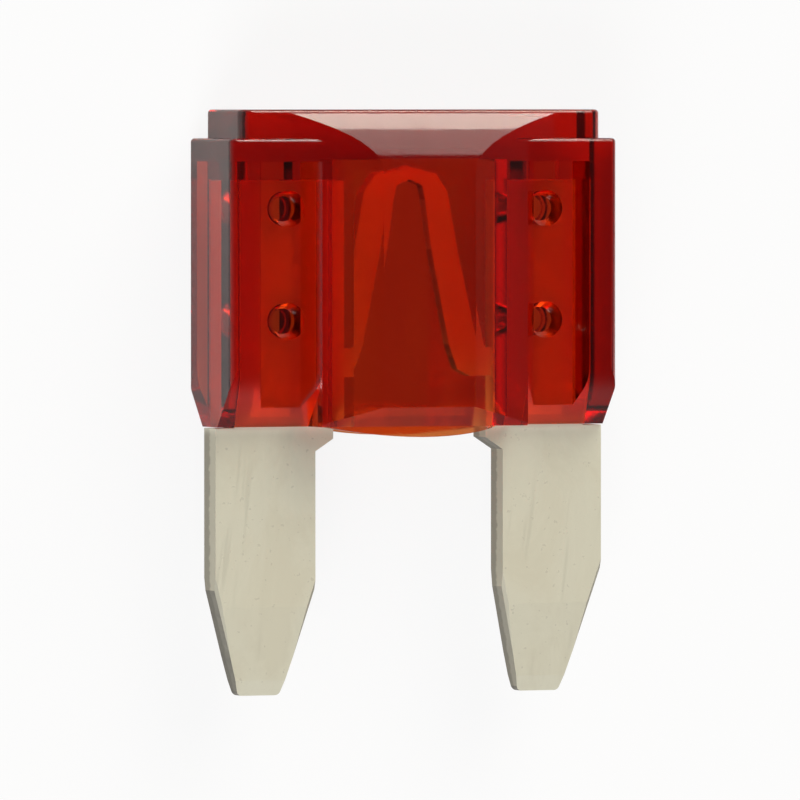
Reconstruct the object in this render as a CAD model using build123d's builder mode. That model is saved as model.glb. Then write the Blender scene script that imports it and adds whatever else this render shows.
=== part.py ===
from build123d import *
import os

# Mini blade fuse, in millimetres. Datum: the middle of the housing's open edge, halfway through the metal.
# X runs across the two blades, Y from the blade tips to the cap, Z out of the front face.

# Blades
blade_width = 2.8
blade_pitch = 8.1
metal = 0.8
blade_reach = 7.0
tip_width = 1.15
tip_length = 2.75
tip_lean = 0.12
right_tip_lean = 0.32
right_tip_length = 3.2
tip_round = 0.15
tip_side_bevel = 0.08
tip_wedge = 2.3
tip_end_bevel = 0.4
tip_bevel_metal = 0.56
tip_end_metal = 0.34
blade_gusset = 0.65

# Terminal plates and link
clearance = 0.03
end_wall = 0.5
plate_inner = 2.15
stake_inset = 0.42
stake_low = 2.75
stake_drop = 0.73
peg_radius = 0.42
link_metal = 0.36
link_foot = 1.28
link_foot_width = 0.74
link_air = 0.23
neck = 0.3

# Housing
width = 10.9
housing_height = 8.25
thickness = 3.6
crown_rise = 0.3
crown_flat = 1.3
crown_shoulder = 2.9
rib_round = 0.2
cap_height = 0.75
cap_inset = 0.37
cap_step = 0.15
cap_corner = 0.35
soft_edge = 0.1
top_round_height = 1.5

# Channels over the terminal plates
channel_band = 0.6
plate_cover = 0.52
crown_lean = 0.39
rib_width = 0.8
rib_lean = 0.25
dimple_radius = 0.475
dimple_floor_radius = 0.33
dimple_depth = 0.4

# Open end
lead_height = 1.15
lead_wall = 0.08
lead_round = 1.0
crown_lead = 0.35
crown_lead_height = 0.5
lip_half_width = 2.55
lip_half_depth = 1.45
lip_wall = 0.25
lip_drop = 0.28

# Hollow for the link
hollow_half_width = 2.4
hollow_wall = 0.55
hollow_roof = 1.3
hollow_corner = 0.45
plate_drop = 0.55

# Derived sizes
blade_x = blade_pitch / 2
blade_inner = blade_x - blade_width / 2
blade_outer = blade_x + blade_width / 2
plate_outer = width / 2 - end_wall - clearance
face = thickness / 2
rib_face = face - crown_rise
cap_face = rib_face - cap_step
slot_face = metal / 2 + clearance
lead_face = slot_face + lead_wall
channel_floor = slot_face + plate_cover
shoulder_height = housing_height - cap_height
channel_height = shoulder_height - channel_band
hollow_height = housing_height - hollow_roof
crown_height = housing_height - soft_edge
crown_fall = crown_rise / (crown_shoulder - crown_flat)
crown_foot = crown_flat + (face - cap_face) / crown_fall
channel_inner = crown_shoulder + crown_lean
rib_inner = width / 2 - rib_width
plate_height = hollow_height - plate_drop
link_top = hollow_height - link_air
stake_x = blade_x - stake_inset
stakes = [(x, y) for x in (-stake_x, stake_x) for y in (stake_low, plate_height - stake_drop)]
beyond = 1.0

section = Plane(origin=(0, 0, 0), x_dir=(1, 0, 0), z_dir=(0, 1, 0))
side = Plane.YZ


with BuildPart() as fuse_element:
    # Blades and terminal plates, stamped from one sheet. Both points lean to the left, the right one further
    blades = (
        (-1, -blade_x - tip_lean, tip_length),
        (1, blade_x - right_tip_lean, right_tip_length),
    )
    with BuildSketch(Plane.XY) as stamping:
        for hand, tip_x, outer_length in blades:
            with BuildLine():
                Polyline(
                    (hand * blade_inner, tip_length - blade_reach),
                    (tip_x - hand * tip_width / 2, -blade_reach),
                    (tip_x + hand * tip_width / 2, -blade_reach),
                    (hand * blade_outer, outer_length - blade_reach),
                    (hand * blade_outer, -clearance),
                    (hand * plate_outer, -clearance),
                    (hand * plate_outer, plate_height),
                    (hand * plate_inner, plate_height),
                    (hand * plate_inner, -blade_gusset / 2),
                    (hand * blade_inner, -blade_gusset),
                    close=True,
                )
            make_face()
        fillet(stamping.vertices().group_by(Axis.Y)[0], radius=tip_round)
        with Locations(*stakes):
            Circle(peg_radius + clearance, mode=Mode.SUBTRACT)
    extrude(amount=metal / 2, both=True)

    # Bevels round the tips, which thin towards the end
    flat_faces = fuse_element.faces().filter_by(Axis.Z)
    tip_edges = flat_faces.edges().filter_by(lambda edge: edge.center().Y < right_tip_length / 2 - blade_reach + 0.1)
    chamfer(tip_edges, length=tip_side_bevel)
    with BuildSketch(side):
        with BuildLine():
            Polyline(
                (-blade_reach - beyond, tip_end_metal / 2),
                (-blade_reach, tip_end_metal / 2),
                (tip_end_bevel - blade_reach, tip_bevel_metal / 2),
                (tip_wedge - blade_reach, metal / 2),
                (tip_wedge - blade_reach, metal),
                (-blade_reach - beyond, metal),
                close=True,
            )
        make_face()
        mirror(about=Plane.XZ)
    extrude(amount=width, both=True, mode=Mode.SUBTRACT)

    # Link, coined thinner than the plates and narrowest over the middle
    with BuildSketch(Plane.XY) as link:
        with BuildLine():
            Polyline(
                (plate_inner + clearance, link_foot + link_foot_width),
                (1.95, link_foot + link_foot_width),
                (1.36, link_top - 2.12),
                (1.08, link_top - 0.62),
                (0.75, link_top - 0.14),
                (0, link_top),
                (0, link_top - neck),
                (0.36, link_top - neck - 0.14),
                (0.44, link_top - 0.82),
                (0.62, link_top - 2.12),
                (1.12, link_foot + 0.82),
                (1.36, link_foot + 0.17),
                (1.72, link_foot),
                (plate_inner + clearance, link_foot),
                close=True,
            )
        make_face()
        mirror(about=Plane.YZ)
        inside_corners = link.vertices().filter_by(lambda corner: 0.1 < abs(corner.X) < plate_inner)
        fillet(inside_corners, radius=0.12)
    extrude(amount=link_metal / 2, both=True)


with BuildPart() as housing:
    # Body with its end ribs, then the crowned middle and the cap
    with BuildSketch(section):
        RectangleRounded(width, 2 * rib_face, rib_round)
    extrude(amount=shoulder_height)
    fillet(housing.faces().sort_by(Axis.Y)[-1].edges(), radius=soft_edge)
    with BuildSketch(section.offset(shoulder_height)):
        RectangleRounded(width - 2 * cap_inset, 2 * cap_face, cap_corner)
    extrude(amount=housing_height - shoulder_height)
    fillet(housing.faces().sort_by(Axis.Y)[-1].edges(), radius=soft_edge)

    with BuildSketch(section):
        with BuildLine():
            Polyline(
                (-crown_foot, cap_face),
                (-crown_flat, face),
                (crown_flat, face),
                (crown_foot, cap_face),
                (crown_foot, -cap_face),
                (crown_flat, -face),
                (-crown_flat, -face),
                (-crown_foot, -cap_face),
                close=True,
            )
        make_face()
    extrude(amount=crown_height)

    # The crown rounds over into the cap
    with BuildSketch(side) as top_round:
        with BuildLine():
            TangentArc(
                (crown_height - top_round_height, face), (crown_height, cap_face), tangent=(1, 0)
            )
            Polyline(
                (crown_height, cap_face),
                (crown_height + beyond, cap_face),
                (crown_height + beyond, face + beyond),
                (crown_height - top_round_height, face + beyond),
                (crown_height - top_round_height, face),
            )
        make_face()
        mirror(about=Plane.XZ)
    extrude(amount=width, both=True, mode=Mode.SUBTRACT)

    # Channels over the plates, front and back
    with BuildSketch(section.offset(-beyond)) as channels:
        with BuildLine():
            Polyline(
                (channel_inner, channel_floor),
                (rib_inner - rib_lean, channel_floor),
                (rib_inner, rib_face),
                (rib_inner, face),
                (crown_shoulder, face),
                (crown_shoulder, rib_face),
                close=True,
            )
        make_face()
        mirror(about=Plane.XZ)
        mirror(about=Plane.YZ)
    extrude(amount=channel_height + beyond, mode=Mode.SUBTRACT)

    # Lead-in on the ends, then the smaller one on the crown
    with BuildSketch(side.offset(crown_shoulder)) as lead_in:
        with BuildLine():
            Polyline(
                (-beyond, lead_face),
                (0, lead_face),
                (lead_height, rib_face),
                (lead_height + beyond, rib_face),
                (lead_height + beyond, face),
                (-beyond, face),
                close=True,
            )
        make_face()
        fillet(lead_in.vertices().sort_by_distance((lead_height, rib_face))[0], radius=lead_round)
        mirror(about=Plane.XZ)
    lead_cut = extrude(amount=width, mode=Mode.SUBTRACT)
    mirror(lead_cut, about=Plane.YZ, mode=Mode.SUBTRACT)
    with BuildSketch(side) as crown_lead_in:
        with BuildLine():
            Polyline(
                (-beyond, face - crown_lead),
                (0, face - crown_lead),
                (crown_lead_height, face),
                (crown_lead_height, face + beyond),
                (-beyond, face + beyond),
                close=True,
            )
        make_face()
        mirror(about=Plane.XZ)
    extrude(amount=crown_shoulder, both=True, mode=Mode.SUBTRACT)

    # Lip round the hollow's mouth, deepest in the middle
    with BuildSketch(section.offset(-lip_drop)):
        Ellipse(lip_half_width, lip_half_depth)
    lip = extrude(amount=lip_drop)
    with BuildSketch(Plane.XY):
        with BuildLine():
            ThreePointArc((-lip_half_width, 0), (0, -lip_drop), (lip_half_width, 0))
            Polyline(
                (lip_half_width, 0),
                (lip_half_width + beyond, 0),
                (lip_half_width + beyond, -beyond),
                (-lip_half_width - beyond, -beyond),
                (-lip_half_width - beyond, 0),
                (-lip_half_width, 0),
            )
        make_face()
    extrude(amount=thickness, both=True, mode=Mode.SUBTRACT)

    # Hollow for the link, and the slot that takes the plates
    with BuildSketch(section):
        hollow = Rectangle(2 * hollow_half_width, 2 * (face - hollow_wall))
        chamfer(hollow.vertices(), length=hollow_corner)
    extrude(amount=hollow_height, mode=Mode.SUBTRACT)
    with BuildSketch(section.offset(-beyond)):
        Ellipse(lip_half_width - lip_wall, lip_half_depth - lip_wall)
        Rectangle(2 * (plate_outer + clearance), 2 * slot_face)
    extrude(amount=beyond, mode=Mode.SUBTRACT)
    with BuildSketch(section):
        Rectangle(2 * (plate_outer + clearance), 2 * slot_face)
    extrude(amount=plate_height + clearance, mode=Mode.SUBTRACT)

    # Pegs through the plates, staked over in the dimples
    with Locations(*stakes):
        Cylinder(peg_radius, 2 * (slot_face + clearance))
    for turn in (0, 180):
        with Locations(*[Location((x, y, 0), (0, turn, 0)) for x, y in stakes]):
            with Locations((0, 0, channel_floor - dimple_depth / 2)):
                Cone(dimple_floor_radius, dimple_radius, dimple_depth, mode=Mode.SUBTRACT)


# The fuse lies on its back, cap towards +Y
rest = Location((0, (blade_reach - housing_height) / 2, face))
os.makedirs("parts", exist_ok=True)
for node, built in (("fuse_element", fuse_element), ("housing", housing)):
    placed = built.part.moved(rest)
    placed.label = node
    export_step(placed, f"parts/{node}.step")
    print(node, placed.is_valid, round(placed.volume, 3), placed.bounding_box())
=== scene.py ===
import math

import bpy
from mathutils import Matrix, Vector


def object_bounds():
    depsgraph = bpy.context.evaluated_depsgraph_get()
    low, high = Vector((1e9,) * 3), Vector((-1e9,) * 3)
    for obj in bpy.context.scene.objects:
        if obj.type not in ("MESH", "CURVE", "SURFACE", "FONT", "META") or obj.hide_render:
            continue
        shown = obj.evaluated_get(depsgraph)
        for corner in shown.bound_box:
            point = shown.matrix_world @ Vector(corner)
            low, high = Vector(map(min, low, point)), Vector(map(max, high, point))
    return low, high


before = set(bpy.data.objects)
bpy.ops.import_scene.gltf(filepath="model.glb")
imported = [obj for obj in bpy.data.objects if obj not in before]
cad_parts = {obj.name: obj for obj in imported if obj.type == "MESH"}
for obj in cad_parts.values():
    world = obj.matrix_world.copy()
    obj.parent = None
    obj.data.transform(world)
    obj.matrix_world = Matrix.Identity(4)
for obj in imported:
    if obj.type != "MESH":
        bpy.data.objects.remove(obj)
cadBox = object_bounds()
scene = bpy.context.scene
mm = 0.001
white = (1.0, 1.0, 1.0, 1.0)
print("frame loaded:", ", ".join(sorted(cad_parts)))


class Wire:
    # a shader socket that can stand in a sum: +, - and * add Math nodes
    def __init__(self, finish, socket):
        self.finish, self.socket = finish, socket

    def math(self, operation, first, second):
        return self.finish.node("ShaderNodeMath", {"operation": operation}, {0: first, 1: second})

    def __add__(self, other):
        return self.math("ADD", self, other)

    def __radd__(self, other):
        return self.math("ADD", other, self)

    def __sub__(self, other):
        return self.math("SUBTRACT", self, other)

    def __rsub__(self, other):
        return self.math("SUBTRACT", other, self)

    def __mul__(self, other):
        return self.math("MULTIPLY", self, other)

    def __rmul__(self, other):
        return self.math("MULTIPLY", other, self)


class Finish:
    # the nodes of one material or of the world
    def __init__(self, owner):
        self.owner = owner
        owner.use_nodes = True
        self.tree = owner.node_tree
        self.tree.nodes.clear()
        kind = "World" if isinstance(owner, bpy.types.World) else "Material"
        self.out = self.tree.nodes.new("ShaderNodeOutput" + kind)

    def node(self, kind, settings=None, sockets=None, output=0):
        made = self.tree.nodes.new(kind)
        for name, value in (settings or {}).items():
            setattr(made, name, value)
        for name, value in (sockets or {}).items():
            if isinstance(value, Wire):
                self.tree.links.new(value.socket, made.inputs[name])
            else:
                made.inputs[name].default_value = value
        return Wire(self, made.outputs[output])

    def wear(self, surface, volume=None):
        self.tree.links.new(surface.socket, self.out.inputs["Surface"])
        if volume is not None:
            self.tree.links.new(volume.socket, self.out.inputs["Volume"])

    def noise(self, stretch, detail=2.0, rough=0.5, warp=0.0, turn=None):
        # noise on Object coordinates, turned and then multiplied along each axis by stretch
        at = self.node("ShaderNodeTexCoord", output="Object")
        if turn is not None:
            at = self.node("ShaderNodeMapping", {"vector_type": "POINT"}, {"Vector": at, "Rotation": turn})
        at = self.node("ShaderNodeMapping", {"vector_type": "POINT"}, {"Vector": at, "Scale": stretch})
        grain = {"Vector": at, "Scale": 1.0, "Detail": detail, "Roughness": rough, "Distortion": warp}
        return self.node("ShaderNodeTexNoise", {"noise_dimensions": "3D"}, grain)

    def between(self, value, low, high):
        # 0 below low, 1 above high, eased in between
        limits = {"Value": value, "From Min": low, "From Max": high, "To Min": 0.0, "To Max": 1.0}
        return self.node("ShaderNodeMapRange", {"interpolation_type": "SMOOTHSTEP"}, limits)

    def along(self, source, axis):
        # one axis of a Texture Coordinate output
        at = self.node("ShaderNodeTexCoord", output=source)
        return self.node("ShaderNodeSeparateXYZ", None, {"Vector": at}, output=axis)

    def weigh(self, amounts, masks, start):
        # start, plus each mask times its amount
        return sum((masks[name] * amount for name, amount in amounts.items()), start)

    def blend(self, share, first, second):
        colours = {"Factor": share, 6: first, 7: second}
        return self.node("ShaderNodeMix", {"data_type": "RGBA"}, colours, output=2)

    def bump(self, height, strength, depth):
        return self.node("ShaderNodeBump", None, {"Height": height, "Strength": strength, "Distance": depth})


# fuse element: rolled and stamped zinc
element = {
    "bright": (0.645, 0.625, 0.505, 1.0),
    "dull": (0.56, 0.535, 0.425, 1.0),
    "litUnderMoulding": (0.92, 0.89, 0.75, 1.0),        # painted light: metal that the moulding covers, lightened to stand in for light that reaches it through the housing
    "spot": (0.30, 0.275, 0.23, 1.0),
    "sheared": (0.53, 0.505, 0.40, 1.0),     # cut edges, where the punch went in
    "torn": (0.34, 0.32, 0.26, 1.0),         # cut edges, where the metal broke away
    "pointEdgeShade": (0.14, 0.132, 0.115, 1.0),  # painted shade on the cut edges of the points that face down the blade
    "metallic": 0.45,
    "roughness": 0.46,
    "rougher": {"lines": 0.06, "dulled": 0.12, "pitted": 0.15, "rubbed": -0.08, "torn": 0.2},
    "raised": {"lines": 0.5, "pitted": -0.5, "rubbed": -0.25, "ragged": 1.0},
    "bumpStrength": 0.35,
    "bumpDepth": 0.004 * mm,
    "rollLines": {"stretch": (9000.0, 450.0, 9000.0), "detail": 4.0, "rough": 0.6},
    "tarnish": {"stretch": (420.0, 300.0, 420.0), "detail": 5.0, "rough": 0.55, "warp": 0.6},
    "pits": {"stretch": (7000.0, 7000.0, 7000.0)},
    "rubs": {"stretch": (5200.0, 260.0, 5200.0), "turn": (0.0, 0.0, 0.12)},   # scratches from pushing in
    "tears": {"stretch": (6000.0, 6000.0, 900.0), "detail": 3.0},
    # where each mask begins and is full
    "tarnishLimits": (0.42, 0.66),
    "pitLimits": (0.66, 0.74),
    "rubLimits": (0.6, 0.7),
    "flatLimits": (0.3, 0.8),                # Z of the surface's direction, squared
    "pointShadeLimits": (0.05, 0.3),              # how far an edge looks down the blade, for the painted shade
    "coverLimits": (-0.9 * mm, -0.4 * mm),   # Y, where the painted light on the covered metal begins and is full
    "tearLimits": (1.72 * mm, 1.84 * mm),    # Z
    "tearSway": 0.3 * mm,
    "pitShare": 0.3,
    "pointShadeShare": (0.7, 0.4),                # painted shade on the points: even part, and part that follows the tears
}


def zincFinish(sizes):
    zinc = Finish(bpy.data.materials.new("dullZinc"))
    lines = zinc.noise(**sizes["rollLines"])
    tears = zinc.noise(**sizes["tears"])
    dulled = zinc.between(zinc.noise(**sizes["tarnish"]), *sizes["tarnishLimits"])
    pitted = zinc.between(zinc.noise(**sizes["pits"]), *sizes["pitLimits"])
    rubbed = zinc.between(zinc.noise(**sizes["rubs"]), *sizes["rubLimits"])
    # painted light: the metal under the moulding is lightened
    coveredLit = zinc.between(zinc.along("Object", "Y"), *sizes["coverLimits"])

    facing = zinc.along("Normal", "Z")
    cut = 1 - zinc.between(facing * facing, *sizes["flatLimits"])
    height = zinc.along("Object", "Z") + (tears - 0.5) * sizes["tearSway"]
    torn = cut * (1 - zinc.between(height, *sizes["tearLimits"]))
    down = -1 * zinc.along("Normal", "Y")
    even, uneven = sizes["pointShadeShare"]
    # painted shade: cut edges that face down the blade are darkened
    shadedPoints = cut * zinc.between(down, *sizes["pointShadeLimits"]) * (even + tears * uneven)

    colour = zinc.blend(dulled, sizes["bright"], sizes["dull"])
    colour = zinc.blend(pitted * sizes["pitShare"], colour, sizes["spot"])
    colour = zinc.blend(cut, colour, sizes["sheared"])
    colour = zinc.blend(torn, colour, sizes["torn"])
    # painted light on the covered metal
    colour = zinc.blend(coveredLit, colour, sizes["litUnderMoulding"])
    # painted shade on the points
    colour = zinc.blend(shadedPoints, colour, sizes["pointEdgeShade"])

    masks = {"lines": lines, "dulled": dulled, "pitted": pitted, "rubbed": rubbed, "torn": torn}
    masks["ragged"] = torn * tears
    relief = zinc.weigh(sizes["raised"], masks, 0.0)
    zinc.wear(zinc.node("ShaderNodeBsdfPrincipled", None, {
        "Base Color": colour,
        "Metallic": sizes["metallic"],
        "Roughness": zinc.weigh(sizes["rougher"], masks, sizes["roughness"]),
        "Normal": zinc.bump(relief, sizes["bumpStrength"], sizes["bumpDepth"]),
    }))
    return zinc.owner


# housing: clear red moulding
moulding = {
    "tint": (1.0, 0.45, 0.16, 1.0),
    "cloud": (0.98, 0.38, 0.12, 1.0),
    "absorbColour": (0.955, 0.55, 0.20, 1.0),
    "absorbDensity": 3600.0,
    "clearness": 1.0,
    "index": 1.55,
    "roughness": 0.07,
    "rougher": {"flow": 0.06, "scuffed": 0.06},
    "raised": {"peel": 0.6, "flow": 0.4, "scuffed": -0.15},
    "bumpStrength": 0.25,
    "bumpDepth": 0.008 * mm,
    "flow": {"stretch": (900.0, 220.0, 900.0)},
    "peel": {"stretch": (2600.0, 2600.0, 2600.0), "detail": 1.0, "rough": 0.45},
    "scuffs": {"stretch": (300.0, 6500.0, 300.0), "detail": 1.0, "turn": (0.0, 0.0, 0.5)},
    "cloudLimits": (0.35, 0.7),
    "scuffLimits": (0.62, 0.72),
}


def redFinish(sizes):
    red = Finish(bpy.data.materials.new("clearRed"))
    flow = red.noise(**sizes["flow"])
    scuffed = red.between(red.noise(**sizes["scuffs"]), *sizes["scuffLimits"])
    masks = {"flow": flow, "peel": red.noise(**sizes["peel"]), "scuffed": scuffed}
    clouded = red.between(flow, *sizes["cloudLimits"])
    relief = red.weigh(sizes["raised"], masks, 0.0)
    red.wear(
        red.node("ShaderNodeBsdfPrincipled", None, {
            "Base Color": red.blend(clouded, sizes["tint"], sizes["cloud"]),
            "Roughness": red.weigh(sizes["rougher"], masks, sizes["roughness"]),
            "IOR": sizes["index"],
            "Transmission Weight": sizes["clearness"],
            "Normal": red.bump(relief, sizes["bumpStrength"], sizes["bumpDepth"]),
        }),
        red.node("ShaderNodeVolumeAbsorption", None, {
            "Color": sizes["absorbColour"],
            "Density": sizes["absorbDensity"],
        }),
    )
    return red.owner


finishes = {"fuse_element": zincFinish(element), "housing": redFinish(moulding)}
for node, finish in finishes.items():
    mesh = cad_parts[node].data
    if not mesh.materials:
        mesh.materials.append(finish)
    for index in range(len(mesh.materials)):
        mesh.materials[index] = finish
print("finishes on both pieces")


# floor, lamps and world
studio = {
    "floorHalf": 1.2,
    "floorColour": (0.62, 0.62, 0.62, 1.0),
    # the share of plain white that each kind of ray sees in the floor
    "glow": {"Is Camera Ray": 0.88, "Is Glossy Ray": 0.15, "Is Transmission Ray": 0.03},
    "overhead": 0.05,
    "horizon": 0.4,
    "lamps": {
        "softbox": {"at": (0.17, 0.28, 0.37), "size": (0.36, 0.24), "power": 0.72, "tint": (1.0, 0.94, 0.86)},
        "window": {"at": (0.17, 0.41, 0.20), "size": (0.36, 0.20), "power": 2.2, "tint": (1.0, 0.94, 0.82)},
        "key": {"at": (-0.20, -0.38, 0.31), "size": (0.30, 0.30), "power": 3.1, "tint": (1.0, 1.0, 1.0)},
    },
}


def floorPiece(sizes):
    half = sizes["floorHalf"]
    corners = [(-half, -half, 0), (half, -half, 0), (half, half, 0), (-half, half, 0)]
    mesh = bpy.data.meshes.new("floor")
    mesh.from_pydata(corners, [], [(0, 1, 2, 3)])
    piece = bpy.data.objects.new("floor", mesh)
    scene.collection.objects.link(piece)
    paint = Finish(bpy.data.materials.new("paleFloor"))
    matte = paint.node("ShaderNodeBsdfDiffuse", None, {"Color": sizes["floorColour"]})
    plain = paint.node("ShaderNodeEmission", None, {"Color": white, "Strength": 1.0})
    rays = {ray: paint.node("ShaderNodeLightPath", output=ray) for ray in sizes["glow"]}
    share = paint.weigh(sizes["glow"], rays, 0.0)
    paint.wear(paint.node("ShaderNodeMixShader", None, {0: share, 1: matte, 2: plain}))
    mesh.materials.append(paint.owner)


def lamp(name, sizes, aim):
    light = bpy.data.lights.new(name, "AREA")
    light.shape = "RECTANGLE"
    light.size, light.size_y = sizes["size"]
    light.energy, light.color = sizes["power"], sizes["tint"]
    holder = bpy.data.objects.new(name, light)
    holder.location = sizes["at"]
    holder.rotation_euler = (aim - Vector(sizes["at"])).to_track_quat("-Z", "Y").to_euler()
    scene.collection.objects.link(holder)


def roomLight(sizes):
    # dim overhead, brighter towards the horizon
    room = Finish(bpy.data.worlds.new("paleRoom"))
    low = 1 - room.between(room.along("Generated", "Z"), 0.0, 1.0)
    glow = low * (sizes["horizon"] - sizes["overhead"]) + sizes["overhead"]
    room.wear(room.node("ShaderNodeBackground", None, {"Color": white, "Strength": glow}))
    scene.world = room.owner


floorPiece(studio)
middle = (cadBox[0] + cadBox[1]) / 2
for name, sizes in studio["lamps"].items():
    lamp(name, sizes, middle)
roomLight(studio)
print("studio lit")


# camera: turned to the left of the front face and lifted towards the cap
view = {
    "turn": 22.5,
    "lift": 1.35,
    "distance": 350 * mm,
    "aim": (-0.10 * mm, 0.03 * mm, 1.8 * mm),
    "sensor": 36.0,
    "lens": 602.4,
    "clip": (0.01, 10.0),
}


def viewCamera(sizes):
    camera = bpy.data.objects.new("camera", bpy.data.cameras.new("camera"))
    scene.collection.objects.link(camera)
    turn, lift = math.radians(sizes["turn"]), math.radians(sizes["lift"])
    back = Vector((-math.sin(turn) * math.cos(lift), math.sin(lift), math.cos(turn) * math.cos(lift)))
    side = Vector((0, 1, 0)).cross(back).normalized()
    axes = camera.matrix_world.to_3x3()
    axes.col[0], axes.col[1], axes.col[2] = side, back.cross(side), back
    camera.matrix_world = axes.to_4x4()
    camera.location = Vector(sizes["aim"]) + back * sizes["distance"]
    camera.data.sensor_width, camera.data.lens = sizes["sensor"], sizes["lens"]
    camera.data.clip_start, camera.data.clip_end = sizes["clip"]
    scene.camera = camera


viewCamera(view)
scene.view_settings.view_transform = "Standard"
print("camera placed")
